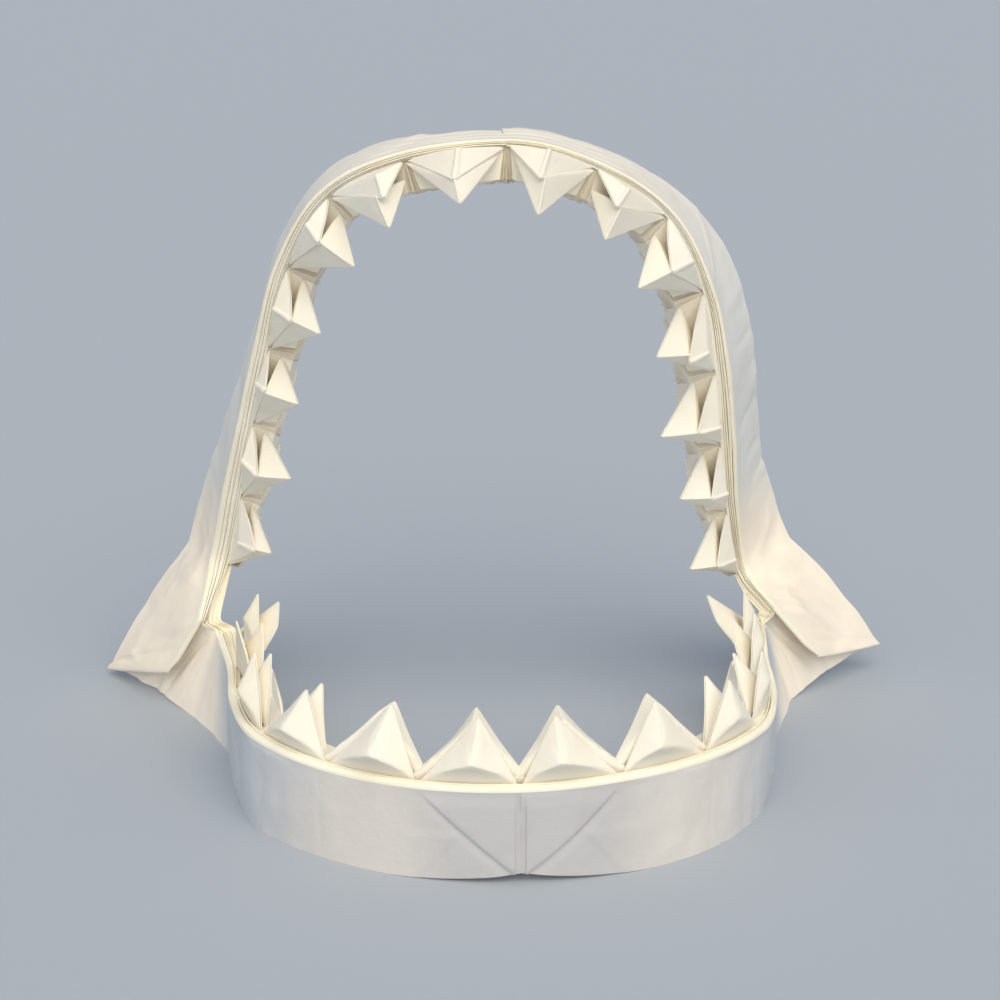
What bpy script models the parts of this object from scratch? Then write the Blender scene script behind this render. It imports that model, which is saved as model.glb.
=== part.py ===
"""A shark jaw folded from one strip of cream paper, standing open on its lower jaw.

The strip is a closed band one tooth pitch deep. Its front fold, the rim, runs up the two sides of the
mouth and along the floor. Every tooth pitch the rim carries two puffed teeth, one behind the other.
At each mouth corner the band is mitred and flares into a flap. Metres, +Z up, -Y is the front.
Left and right are as seen from the front, so left is -X.
"""

import math

import bmesh
import bpy
from mathutils import Vector

# Driving dimensions, metres
TOOTH_PITCH = 0.034             # length of rim that one tooth takes, and the depth of the band
PAPER = 0.0010                  # wall of a single sheet in these solids
LAYERED = 0.0020                # wall where the pleats lie on each other
SPLIT_GAP = 0.0003              # clear cut between neighbouring pieces
STEPS_PER_TOOTH = 4             # sections of the band in one tooth pitch

# The folded band in cross-section, in tooth pitches
LEDGE_WIDTH = 0.33              # from the rim towards the mouth, under both rows of teeth
INNER_WALL_DEPTH = 0.70         # how far the pleats run back behind the inner row
INNER_WALL_OFFSET = 0.36        # how far inside the rim their rear edge lies

# Plan heading and slope, in degrees, of the rim along each tooth, from the middle of the jaw outwards
UPPER_RIM = {
    -1: ((8, -8), (31, -24), (40, -52), (49, -68), (57, -66), (58, -68), (57, -67)),
    1: ((11, -14), (22, -32), (33, -57), (54, -69), (67, -66), (66, -64), (58, -62)),
}
LOWER_RIM = {
    -1: ((11, -1), (29, 0), (47, 2), (72, -1), (81, 0), (75, 1)),
    1: ((9, 1), (27, 0), (48, -1), (69, -2), (78, 1), (79, 2)),
}
RIM_FOLD = 0.12                 # depth of the layered edge behind the rim

# Width of the ledge at each pinch and at the mouth corner, against its full width
HEM_LEDGE = 0.05
LEDGE_SHARE = {
    "upper": (1, 1, 1, 1, 0.9, 0.8, 0.75, 0.4, HEM_LEDGE),
    "lower": (1, 1, 1, 1, 1.2, 1.5, 1.2, HEM_LEDGE),
}

# How far the band leans out from straight back (upper) or straight down (lower) at each pinch, degrees
UPPER_FLARE = {-1: (2, 2, 3, 8, 10, 15, 23, 31), 1: (3, 5, 11, 28, 36, 37, 38, 50)}
LOWER_FLARE = {-1: (0, 1, 2, 4, 2, 3, 14), 1: (0, 1, 2, 2, 0, 2, 13)}

# Where the middle of each rim stands, in tooth pitches
UPPER_MIDDLE = Vector((0.0, 2.72, 6.71))
LOWER_MIDDLE = Vector((0.0, 0.12, 1.0))
LOWER_MIDDLE_LIFT = 0.10        # how far the front of the band stands clear of the floor
LIFTED_LENGTH = 1.5             # and how far to each side

# The floor point under the middle of the whole outline, which is the part's origin
ORIGIN = Vector((0.093, 3.02, 0.0))

# The folded corners, in tooth pitches: mouth corner, tip of the flap and the end of its overlapping fold
MOUTH_CORNER = {-1: Vector((-3.34, 4.45, 1.17)), 1: Vector((3.27, 4.40, 1.18))}
FLAP_TIP = {-1: Vector((-4.70, 5.90, 0.08)), 1: Vector((4.89, 5.50, 0.33))}
FLAP_FOLD = {-1: Vector((-3.80, 4.70, 0.47)), 1: Vector((3.88, 4.56, 0.53))}

FLAP_TIP_SHARE = 0.93           # the hem starts this far along the flap's rear edge
FLAP_BOW = 0.10                 # how far that edge bows out between its ends
CORNER_DROP = 0.20              # the lower strip ends this far under the mouth corner
UNDERLAP = 0.11                 # how far the lower flap tucks in behind the upper one
TUCK_RATE = 2.5                 # and how soon past the last pinch it does
FLAP_STEPS = 5
FOLD_STEPS = 3
WALL = PAPER / TOOTH_PITCH
LAYERS = LAYERED / TOOTH_PITCH
STRIP_WALLS = (WALL, WALL, LAYERS, LAYERS, WALL)
HEM_WALLS = (WALL,) * len(STRIP_WALLS)
SHARPEST_FOLD = 0.45            # keeps the walls from growing long spikes at the sharpest folds

# Teeth: height above the rim and how far the tip lies inside it, in tooth pitches
TOOTH_HEIGHT = {"upper": 0.60, "lower": 0.62}
TOOTH_SLANT = {"upper": -0.26, "lower": -0.14}      # the tips slant towards the middle of the jaw
FIRST_SLANT = 0.3               # the first tooth does so less
OUTER_TIP_INSET = {
    ("upper", -1): (0.20, 0.19, 0.17, 0.19, 0.10, 0.17, 0.28),
    ("upper", 1): (0.18, 0.20, 0.25, 0.34, 0.33, 0.26, 0.31),
    ("lower", -1): (0.06, 0.12, 0.07, 0.08, 0.08, 0.38),
    ("lower", 1): (0.05, 0.05, 0.02, 0.06, 0.21, 0.32),
}
OUTER_ROW = 0.03                # how far inside the rim the outer row stands
ROW_SPACING = 0.27              # from the outer row of teeth to the inner row
INNER_TIP_EXTRA = {"upper": 0.10, "lower": 0.04}     # the inner row leans in a little more
TOOTH_BULGE_HEIGHT = 0.22       # the puffed front of a tooth
TOOTH_BULGE_OUT = 0.12
TOOTH_HALF_BASE = 0.47
TOOTH_BACK = 0.11               # how thick a tooth is behind its base line
TOOTH_ROOT = 0.012              # how deep its base is sunk in the ledge
TOOTH_HOLLOW = 0.035            # how far its long edges bow in
TOOTH_LEVELS = (0.35, 0.7)      # where the bowed edges have their points

PAPER_COLOUR = (0.86, 0.80, 0.69, 1.0)
PAPER_ROUGHNESS = 0.8


def clear_scene():
    for old in list(bpy.data.objects):
        bpy.data.objects.remove(old, do_unlink=True)


def paper_material(name):
    material = bpy.data.materials.new(name + "_paper")
    material.use_nodes = True
    shader = material.node_tree.nodes["Principled BSDF"]
    shader.inputs["Base Color"].default_value = PAPER_COLOUR
    shader.inputs["Roughness"].default_value = PAPER_ROUGHNESS
    shader.inputs["Metallic"].default_value = 0.0
    return material


def metres(p):
    return (p - ORIGIN) * TOOTH_PITCH


def spline(points, s):
    """A smooth curve through the points, one unit of s from each to the next."""
    last = len(points) - 1
    i = min(max(int(math.floor(s)), 0), last - 1)
    f = s - i
    p1, p2 = points[i], points[i + 1]
    p0 = points[i - 1] if i > 0 else 2 * p1 - p2
    p3 = points[i + 2] if i + 2 <= last else 2 * p2 - p1
    return 0.5 * (2 * p1 + (p2 - p0) * f + (2 * p0 - 5 * p1 + 4 * p2 - p3) * f * f
                  + (3 * p1 - p0 - 3 * p2 + p3) * f * f * f)


def between(values, s):
    i = min(int(s), len(values) - 2)
    return values[i] + (values[i + 1] - values[i]) * (s - i)


class Rim:
    """One half of a jaw's rim, from the middle out, and the frame of the band along it."""

    def __init__(self, jaw, side):
        self.jaw = jaw
        self.side = side
        upper = jaw == "upper"
        self.headings = (UPPER_RIM if upper else LOWER_RIM)[side]
        self.flare = (UPPER_FLARE if upper else LOWER_FLARE)[side]
        self.back_axis = Vector((0, 1, 0)) if upper else Vector((0, 0, -1))
        self.teeth = len(self.headings)
        place = (UPPER_MIDDLE if upper else LOWER_MIDDLE).copy()
        self.pinches = [place.copy()]
        for heading, slope in self.headings:
            a, e = math.radians(heading), math.radians(slope)
            place += Vector((side * math.cos(e) * math.cos(a), math.cos(e) * math.sin(a), math.sin(e)))
            self.pinches.append(place.copy())
        # a point before the middle keeps the curve level where the two halves meet
        mirrored = self.pinches[1].copy()
        mirrored.x = -mirrored.x
        self.curve = [mirrored] + self.pinches + [MOUTH_CORNER[side]]
        self.last = self.teeth + 1

    def point(self, s):
        return spline(self.curve, s + 1)

    def frame(self, s):
        """Place, direction along the rim, back along the band, and in towards the mouth."""
        step = 0.02
        ahead = self.point(min(s + step, self.last))
        behind = self.point(max(s - step, 0)) if s > 0 else Vector((-ahead.x, ahead.y, ahead.z))
        along = (ahead - behind).normalized()
        back = (self.back_axis - self.back_axis.dot(along) * along).normalized()
        turn = -self.side if self.jaw == "upper" else self.side
        inward = turn * along.cross(back)
        return self.point(s), along, back, inward

    def place(self, s, height, inset):
        """A point height above the rim, away from the band, and inset towards the mouth."""
        here, _, back, inward = self.frame(s)
        return here - height * back + inset * inward


def thick_ring(path, walls, along):
    """The closed outline of a bent sheet that passes through the path's points, seen along the rim."""
    normals = []
    for a, b in zip(path[:-1], path[1:]):
        normals.append(along.cross(b - a).normalized())
    front, rear = [], []
    for i, p in enumerate(path):
        beside = normals[max(i - 1, 0):i + 1]
        normal = sum(beside, Vector()).normalized()
        reach = walls[i] / 2 / max(normal.dot(beside[0]), SHARPEST_FOLD)
        front.append(p + normal * reach)
        rear.append(p - normal * reach)
    return front + rear[::-1]


def strip_path(here, back, inward, edge, ledge):
    """The section of the strip: outer band, rim, ledge under the teeth and the pleats behind them."""
    near = here + (edge - here).normalized() * RIM_FOLD
    return [
        edge,
        near,
        here,
        here + inward * LEDGE_WIDTH * ledge,
        here + back * INNER_WALL_DEPTH * min(1, ledge) + inward * INNER_WALL_OFFSET * ledge,
    ]


def loft(name, rings):
    """A closed solid through rings of points that all have the same count."""
    mesh = bmesh.new()
    loops = [[mesh.verts.new(metres(p)) for p in ring] for ring in rings]
    count = len(loops[0])
    for a, b in zip(loops[:-1], loops[1:]):
        for i in range(count):
            j = (i + 1) % count
            mesh.faces.new((a[i], a[j], b[j], b[i]))
    for loop in (loops[0], loops[-1]):
        half = count // 2
        for i in range(half - 1):
            mesh.faces.new((loop[i], loop[i + 1], loop[count - 2 - i], loop[count - 1 - i]))
    bmesh.ops.triangulate(mesh, faces=mesh.faces[:])
    bmesh.ops.recalc_face_normals(mesh, faces=mesh.faces[:])
    data = bpy.data.meshes.new(name)
    mesh.to_mesh(data)
    mesh.free()
    return data


def new_object(name, data):
    made = bpy.data.objects.new(name, data)
    bpy.context.scene.collection.objects.link(made)
    data.materials.append(paper_material(name))
    return made


def floor_lift(s):
    """The foot of the band stands on the floor except near the middle of the jaw."""
    return LOWER_MIDDLE_LIFT * max(0.0, 1 - s / LIFTED_LENGTH) ** 2


def band_edge(rim, s):
    """The free edge of the outer band: the foot of the lower jaw, or the rear edge of the upper."""
    here, _, back, inward = rim.frame(s)
    lean = math.radians(between(rim.flare, s))
    leaning = back * math.cos(lean) - inward * math.sin(lean)
    if rim.jaw == "upper":
        return here + leaning
    return here + leaning * (here.z - floor_lift(s)) / -leaning.z


def ledge_share(rim, s):
    return between(LEDGE_SHARE[rim.jaw], s)


def strip_ring(rim, s, edge):
    here, along, back, inward = rim.frame(s)
    return thick_ring(strip_path(here, back, inward, edge, ledge_share(rim, s)), STRIP_WALLS, along)


def jaw_band(rim):
    """The swept strip of one half jaw, from just off the middle to its last pinch."""
    rings = []
    for k in range(rim.teeth * STEPS_PER_TOOTH + 1):
        s = k / STEPS_PER_TOOTH
        ring = strip_ring(rim, s, band_edge(rim, s))
        if rim.jaw == "lower":
            ring[0].z = floor_lift(s)
            ring[-1].z = floor_lift(s)
        if k == 0:
            for p in ring:
                p.x = rim.side * SPLIT_GAP / 2 / TOOTH_PITCH
        rings.append(ring)
    return rings


def beyond_cut(rim):
    """The section that faces a half jaw's last one across the cut between the two pieces."""
    _, along, _, _ = rim.frame(rim.teeth)
    return [p + along * SPLIT_GAP / TOOTH_PITCH for p in jaw_band(rim)[-1]]


def upper_flap(rim):
    """The strip from the last pinch to the mouth corner, its band flared to the tip, and the hem over it."""
    start = band_edge(rim, rim.teeth)
    tip = FLAP_TIP[rim.side]
    corner = MOUTH_CORNER[rim.side]
    bow = (start - corner - (start - corner).project(tip - start)).normalized()
    rings = [beyond_cut(rim)]
    for k in range(1, FLAP_STEPS + 1):
        f = k / FLAP_STEPS
        edge = start.lerp(tip, f * FLAP_TIP_SHARE) + bow * FLAP_BOW * math.sin(math.pi * f)
        rings.append(strip_ring(rim, rim.teeth + f, edge))
    here, along, back, inward = rim.frame(rim.last)
    for k in range(1, FOLD_STEPS + 1):
        f = k / FOLD_STEPS
        hem = here.lerp(FLAP_FOLD[rim.side], f)
        edge = start.lerp(tip, FLAP_TIP_SHARE + (1 - FLAP_TIP_SHARE) * f)
        path = strip_path(hem, back, inward, edge, HEM_LEDGE)
        rings.append(thick_ring(path, HEM_WALLS, along))
    return rings


def lower_flap(rim):
    """The side of the lower band from the last pinch on, drawn out to the tip behind the upper flap."""
    corner = MOUTH_CORNER[rim.side]
    tip = FLAP_TIP[rim.side]
    here, along, back, inward = rim.frame(rim.teeth)
    foot = band_edge(rim, rim.teeth)
    behind = (tip - corner).cross(foot - corner).normalized()
    if behind.dot(inward) < 0:
        behind.negate()
    rings = [beyond_cut(rim)]
    for k in range(1, FLAP_STEPS + 1):
        f = k / FLAP_STEPS
        tuck = behind * UNDERLAP * min(1, TUCK_RATE * f)
        edge = foot.lerp(tip, f) + tuck
        place = here.lerp(corner + back * CORNER_DROP, f) + tuck
        path = strip_path(place, back, inward, edge, ledge_share(rim, rim.teeth + f))
        rings.append(thick_ring(path, STRIP_WALLS, along))
    return rings


def tooth_points(rim, i, row, tip_inset):
    """Corners of one puffed tooth on the rim's length i to i + 1, with its base at row on the ledge."""
    middle = i + 0.5

    def on_ledge(s, height, inset):
        return rim.place(s, height, row * ledge_share(rim, s) + inset)

    left = on_ledge(middle - TOOTH_HALF_BASE, -TOOTH_ROOT, 0)
    right = on_ledge(middle + TOOTH_HALF_BASE, -TOOTH_ROOT, 0)
    bulge = on_ledge(middle, TOOTH_BULGE_HEIGHT, -TOOTH_BULGE_OUT)
    back = on_ledge(middle, -TOOTH_ROOT, TOOTH_BACK)
    slant = TOOTH_SLANT[rim.jaw] * (FIRST_SLANT if i == 0 else 1)
    tip = on_ledge(middle, TOOTH_HEIGHT[rim.jaw], tip_inset) + slant * rim.frame(middle)[1]
    return left, right, bulge, back, tip


def add_tooth(mesh, corners):
    """A tooth as two front facets that meet on a ridge, a shaded facet under them and a flat back."""
    left, right, bulge, back, tip = corners
    core = (bulge + back) / 2

    def bowed(corner, f):
        straight = corner.lerp(tip, f)
        pull = (core.lerp(tip, f) - straight).normalized()
        return straight + pull * TOOTH_HOLLOW * math.sin(math.pi * f)

    def line(points):
        return [mesh.verts.new(metres(p)) for p in points]

    point = line([tip])[0]
    edges = [line([corner] + [bowed(corner, f) for f in TOOTH_LEVELS]) for corner in (left, right)]
    spines = [line([corner] + [corner.lerp(tip, f) for f in TOOTH_LEVELS]) for corner in (bulge, back)]
    for edge in edges:
        for spine in spines:
            for k in range(len(TOOTH_LEVELS)):
                mesh.faces.new((edge[k], spine[k], spine[k + 1]))
                mesh.faces.new((edge[k], spine[k + 1], edge[k + 1]))
            mesh.faces.new((edge[-1], spine[-1], point))
    for spine in spines:
        mesh.faces.new((edges[0][0], edges[1][0], spine[0]))


def teeth_object(rim, name):
    mesh = bmesh.new()
    insets = OUTER_TIP_INSET[(rim.jaw, rim.side)]
    for i in range(rim.teeth):
        add_tooth(mesh, tooth_points(rim, i, OUTER_ROW, insets[i]))
        add_tooth(mesh, tooth_points(rim, i, ROW_SPACING, insets[i] + INNER_TIP_EXTRA[rim.jaw]))
    bmesh.ops.recalc_face_normals(mesh, faces=mesh.faces[:])
    data = bpy.data.meshes.new(name)
    mesh.to_mesh(data)
    mesh.free()
    cutter = bpy.data.objects.new(name, data)
    bpy.context.scene.collection.objects.link(cutter)
    cutter.hide_render = True
    cutter.display_type = "WIRE"
    return cutter


def make_jaw_half(rim, label):
    name = rim.jaw + "_jaw_" + label
    half = new_object(name, loft(name, jaw_band(rim)))
    union = half.modifiers.new("teeth", "BOOLEAN")
    union.operation = "UNION"
    union.use_self = True
    union.object = teeth_object(rim, name + "_teeth_form")
    return half


def main():
    clear_scene()
    for side, label in ((-1, "left"), (1, "right")):
        for jaw in ("upper", "lower"):
            rim = Rim(jaw, side)
            make_jaw_half(rim, label)
            name = jaw + "_flap_" + label
            new_object(name, loft(name, upper_flap(rim) if jaw == "upper" else lower_flap(rim)))


main()
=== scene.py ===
"""Looks of the folded paper shark jaw: every sheet, pleat and puffed tooth as its own thin paper shell.

Lengths are in tooth pitches until to_metres() puts them in the frame. Left and right are as seen
from the front, so left is -X. s counts tooth pitches along a rim, from the middle of the jaw out.
"""

import math

import bmesh
import bpy
import numpy as np
from mathutils import Matrix, Vector


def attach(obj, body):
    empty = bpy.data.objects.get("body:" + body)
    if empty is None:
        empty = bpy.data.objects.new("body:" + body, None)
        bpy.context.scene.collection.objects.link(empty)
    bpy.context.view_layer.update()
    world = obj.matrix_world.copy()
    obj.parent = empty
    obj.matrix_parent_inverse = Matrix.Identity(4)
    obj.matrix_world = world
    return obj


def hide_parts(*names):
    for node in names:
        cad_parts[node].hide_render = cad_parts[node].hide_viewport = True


TOOTH_PITCH = 0.034
ORIGIN = np.array((0.093, 3.02, 0.0))
PAPER = 0.014                   # one sheet, 0.5 mm

# The rims as the solids have them: plan heading and slope along each tooth, degrees
UPPER_RIM = {
    -1: ((8, -8), (31, -24), (40, -52), (49, -68), (57, -66), (58, -68), (57, -67)),
    1: ((11, -14), (22, -32), (33, -57), (54, -69), (67, -66), (66, -64), (58, -62)),
}
LOWER_RIM = {
    -1: ((11, -1), (29, 0), (47, 2), (72, -1), (81, 0), (75, 1)),
    1: ((9, 1), (27, 0), (48, -1), (69, -2), (78, 1), (79, 2)),
}
HEM_LEDGE = 0.05                # what is left of the ledge at the mouth corner
# How wide the ledge under the teeth is, as a share of LEDGE_WIDTH, at each pinch
LEDGE_SHARE = {
    "upper": (1, 1, 1, 1, 0.9, 0.8, 0.75, 0.4, HEM_LEDGE),
    "lower": (1, 1, 1, 1, 1.2, 1.5, 1.2, HEM_LEDGE),
}
# How far the bands lean outwards, degrees, at each pinch
UPPER_FLARE = {-1: (2, 2, 3, 8, 10, 15, 23, 31), 1: (3, 5, 11, 28, 36, 37, 38, 50)}
LOWER_FLARE = {-1: (0, 1, 2, 4, 2, 3, 14), 1: (0, 1, 2, 2, 0, 2, 13)}
MIDDLE = {"upper": (0.0, 2.72, 6.71), "lower": (0.0, 0.12, 1.0)}
MOUTH_CORNER = {-1: (-3.34, 4.45, 1.17), 1: (3.27, 4.40, 1.18)}
FLAP_TIP = {-1: (-4.70, 5.90, 0.08), 1: (4.89, 5.50, 0.33)}
FLAP_FOLD = {-1: (-3.80, 4.70, 0.47), 1: (3.88, 4.56, 0.53)}
FLAP_TIP_SHARE = 0.93           # where the hem starts, on the way from the band to the tip
FLAP_BOW = 0.10
FOOT_LIFT = 0.10                # the lower jaw's foot is off the floor in the middle
LIFTED_LENGTH = 1.5
CORNER_DROP = 0.04              # the lower band ends this far below the mouth corner
UNDERLAP = 0.11                 # the lower flap lies this far behind the upper one
LEDGE_WIDTH = 0.33
INNER_WALL_DEPTH = 0.70
INNER_WALL_OFFSET = 0.36

# Width of the stack of folded edges outside the rim, at each pinch
STACK_WIDTH = {
    ("upper", -1): (0.05, 0.07, 0.08, 0.11, 0.14, 0.15, 0.19, 0.19, 0.06),
    ("upper", 1): (0.05, 0.06, 0.07, 0.10, 0.15, 0.16, 0.12, 0.09, 0.05),
    ("lower", -1): (0.05, 0.05, 0.06, 0.08, 0.08, 0.07, 0.06, 0.05),
    ("lower", 1): (0.05, 0.05, 0.06, 0.08, 0.06, 0.04, 0.03, 0.02),
}
# The shares of its layers, from the teeth out
STACK_LAYERS = {
    ("upper", -1): (0.12, 0.13, 0.25, 0.23, 0.27),
    ("upper", 1): (0.30, 0.16, 0.15, 0.20, 0.19),
    ("lower", -1): (0.3, 0.7),
    ("lower", 1): (0.3, 0.7),
}

# The rounded edge of one layer: across it and ahead of it
LAYER_PROFILE = ((1, 0), (0.96, 0.6), (0.75, 0.95), (0, 1.1), (-0.75, 0.95), (-0.96, 0.6), (-1, 0))

# How far the lower rim's outer edge is drawn in towards the mouth, at each pinch
DRAWN_IN = {-1: (0, 0, 0, 0, 0.03, 0.07, 0.13), 1: (0, 0, 0, 0, 0.05, 0.13, 0.16)}
# From where to where the fold along the lower rim narrows
FOLD_END = {-1: (5.6, 6.6), 1: (4.2, 5.6)}

TOOTH_HEIGHT = {("upper", 0): 0.47, ("upper", 1): 0.52, ("lower", 0): 0.65, ("lower", 1): 0.62}
# How far each tip leans along the rim, minus is towards the middle of the jaw, and in towards the mouth
OUTER_SLANT = {
    ("upper", -1): (0.0, -0.41, -0.22, -0.11, -0.26, -0.13, -0.19),
    ("upper", 1): (-0.21, -0.32, -0.14, 0.05, -0.08, -0.14, -0.19),
    ("lower", -1): (-0.11, -0.19, -0.17, -0.14, -0.14, -0.14),
    ("lower", 1): (-0.14, -0.12, -0.14, -0.14, -0.14, -0.14),
}
INNER_SLANT = {
    ("upper", -1): (-0.03, -0.34, -0.20, -0.06, -0.23, -0.21, -0.24),
    ("upper", 1): (-0.15, -0.25, -0.18, -0.12, -0.16, -0.28, -0.33),
    ("lower", -1): (-0.04, -0.05, -0.04, -0.14, -0.14, -0.14),
    ("lower", 1): (-0.04, 0.01, -0.06, -0.14, -0.14, -0.14),
}
OUTER_TIP_INSET = {
    ("upper", -1): (0.22, 0.23, 0.17, 0.18, 0.06, 0.15, 0.28),
    ("upper", 1): (0.24, 0.23, 0.28, 0.34, 0.32, 0.23, 0.28),
    ("lower", -1): (0.05, 0.11, 0.06, 0.07, 0.02, 0.37),
    ("lower", 1): (0.04, 0.04, 0.01, 0.05, 0.20, 0.31),
}
INNER_TIP_INSET = {
    ("upper", -1): (0.18, 0.24, 0.32, 0.24, 0.20, 0.30, 0.30),
    ("upper", 1): (0.31, 0.29, 0.39, 0.42, 0.50, 0.38, 0.44),
    ("lower", -1): (0.10, 0.16, 0.11, -0.06, -0.08, 0.24),
    ("lower", 1): (0.09, 0.09, 0.06, 0.05, 0.09, 0.36),
}
# How much taller some of the lower teeth are
LOWER_TIP_RISE = {
    (-1, 0): (0, 0.04, 0, 0.06, 0.09, 0),
    (1, 0): (0, 0, 0, 0, 0.10, 0),
    (-1, 1): (0, -0.04, -0.04, 0.06, 0.08, -0.09),
    (1, 1): (0, -0.03, -0.03, -0.02, 0.08, -0.07),
}
# How far behind the outer row an inner tooth starts, at its end nearer the middle of the jaw
INNER_START = {
    ("upper", -1): (0.04, 0.18, 0.20, 0.19, 0.16, 0.17, 0.18),
    ("upper", 1): (0.04, 0.22, 0.22, 0.28, 0.28, 0.26, 0.22),
    ("lower", -1): (0.05, 0.05, 0.06, 0.07, 0.18, 0.23),
    ("lower", 1): (0.05, 0.05, 0.06, 0.09, 0.22, 0.24),
}
INNER_END = 0.02
# The lower corner teeth stand further in, with short bases: the near end's inset and rise, and the
# far end's inset and place
CORNER_TEETH = {
    (-1, 3): (0.0, 0.0, 0.0, 0.98),
    (-1, 4): (0.12, 0.08, 0.02, 0.98),
    (-1, 5): (0.17, 0.12, 0.18, 0.62),
    (1, 3): (0.04, 0.0, 0.0, 0.98),
    (1, 4): (0.17, 0.10, 0.05, 0.92),
    (1, 5): (0.18, 0.10, 0.14, 0.62),
}
# How far their near edges bow out, outer and inner
CORNER_BOW = {
    (-1, 3): (0.07, 0.05), (-1, 4): (0.19, 0.10), (-1, 5): (0.05, 0.18),
    (1, 3): (0.07, 0.05), (1, 4): (0.10, 0.10), (1, 5): (0.05, 0.18),
}
# The puffed front of a tooth: how far along the rim from the tooth's middle, and how far out from it
BULGE_SLANT = {
    ("upper", -1): (-0.06, -0.33, -0.20, -0.10, -0.19, -0.15, -0.08),
    ("upper", 1): (-0.14, -0.21, -0.03, 0.09, 0.05, 0.0, -0.01),
    ("lower", -1): (-0.06, -0.12, -0.08, -0.15, -0.18, -0.15),
    ("lower", 1): (-0.15, -0.19, -0.15, -0.15, -0.18, -0.15),
}
BULGE_OUT = {
    ("upper", -1): (0.04, -0.03, 0.01, 0.02, 0.04, 0.04, -0.07),
    ("upper", 1): (0.01, -0.04, -0.04, -0.11, -0.04, -0.02, -0.02),
    ("lower", -1): (0.20, 0.20, 0.18, 0.12, -0.15, -0.19),
    ("lower", 1): (0.20, 0.18, 0.12, 0.04, -0.09, -0.18),
}
BULGE_HEIGHT = {"upper": (0.27,) * 7, "lower": (0.27, 0.27, 0.27, 0.32, 0.43, 0.38)}
OUTER_ROW = {("upper", -1): 0.03, ("upper", 1): 0.01, ("lower", -1): 0.05, ("lower", 1): 0.05}
ROW_SPACING = 0.27
MIDDLE_SHIFT = {"upper": 0.04, "lower": 0.0}
ROLL = 9                        # rows of points in the fold along a band's front
BAND_SHEET = 1.2 * PAPER
UPPER_ROLL_RADIUS = 0.014
LOWER_ROLL_RADIUS = 0.025
THIN_RADIUS = 0.004             # what a fold narrows to where it runs out
HEM_RADIUS = 0.030
HEM_WIDTH = 0.08

# Rows of points: along the rim for each pitch, then across
BAND_STEPS = 40
SEAM_STEPS = 80                 # the lower band's middle, as far as SEAM_END
SEAM_END = 1.25
UPPER_FLAP_STEPS = 44
HEM_STEPS = 14
STACK_STEPS = 26
BUNDLE_STEPS = 16
UPPER_DEPTH_STEPS = 44
LOWER_DEPTH_STEPS = 60
TOOTH_COLUMNS = 39
TOOTH_ROWS = (11, 23)           # below its crease and above it
BACK_STEPS = 15

# Over which places the bands turn into the corner flaps
UPPER_FLAP = (6.3, 7.2)
LOWER_FLAP = (5.9, 6.3)
# Depths at which the edges of inner layers show through the upper band
SHOWN_EDGES = (0.22, 0.42, 0.63)
# Soft folds across the bands: place and width, and on the lower band the size too
UPPER_FOLDS = {
    -1: ((2.9, 0.08), (3.6, 0.10), (4.6, 0.10), (5.3, 0.08), (6.2, 0.10)),
    1: ((3.5, 0.10), (3.9, 0.07), (4.35, 0.12), (4.9, 0.08), (5.5, 0.10), (6.15, 0.09)),
}
UPPER_FOLD_SIZE = {-1: 0.008, 1: 0.010}
UPPER_FOLD_SLOPE = {-1: 0.15, 1: 0.12}
LOWER_FOLDS = (
    (2.55, 0.08, 0.008), (2.8, 0.05, 0.006), (3.6, 0.07, 0.02), (3.85, 0.06, 0.016),
    (4.3, 0.10, 0.016), (4.8, 0.12, 0.012), (5.4, 0.12, 0.014), (5.9, 0.10, 0.014),
)

# The bundle of layers round a mouth corner: its width at places along the upper and lower rim
CORNER_LAYERS = 9
UPPER_BUNDLE = {-1: (0.06, 0.09, 0.15, 0.24), 1: (0.06, 0.09, 0.15, 0.18)}
LOWER_BUNDLE = {
    -1: (0.05, 0.08, 0.14, 0.22, 0.29, 0.25),
    1: (0.03, 0.05, 0.08, 0.13, 0.19, 0.20),
}
BUNDLE_SMOOTHING = 10
PLEATS = 20                     # layers in the fan behind each pinch

# The camera: degrees down and round, pitches from its target, and millimetres
CAMERA_PITCH = 15.7
CAMERA_TURN = 3.6
CAMERA_DISTANCE = 18.6
CAMERA_TARGET = (-0.2, 2.5, 3.12)
CAMERA_SENSOR = 36
CAMERA_LENS = 64.8

# Soft suns: height and azimuth in degrees, strength and colour
SUN_SPREAD = 60
SUNS = {
    "key": (48, 8, 2.05, (1.0, 0.925, 0.78)),
    "fill": (16, 0, 0.2, (0.95, 0.97, 1.0)),
    "left": (24, -50, 0.42, (1.0, 0.95, 0.86)),
    "right": (24, 50, 0.34, (1.0, 0.95, 0.86)),
}
FLOOR_COLOUR = (0.43, 0.46, 0.50)
FLOOR_REACH = 300.0             # metres to each side
SKY_COLOUR = (0.68, 0.80, 1.0)
SKY_STRENGTH = 0.5


def unit(v):
    return v / np.maximum(np.linalg.norm(v, axis=-1, keepdims=True), 1e-9)


def dot(a, b):
    return np.sum(a * b, axis=-1, keepdims=True)


def lerp(a, b, f):
    return a + (b - a) * f


def smooth(edge0, edge1, x):
    f = np.clip((x - edge0) / (edge1 - edge0), 0, 1)
    return f * f * (3 - 2 * f)


def soft_min(a, b, k):
    """The smaller of two values, rounded over where they come within k of each other."""
    h = np.clip(0.5 + 0.5 * (b - a) / k, 0, 1)
    return b * (1 - h) + a * h - k * h * (1 - h)


def between(values, s):
    """Values given at whole places, read between them."""
    return np.interp(s, np.arange(len(values)), values)


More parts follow.
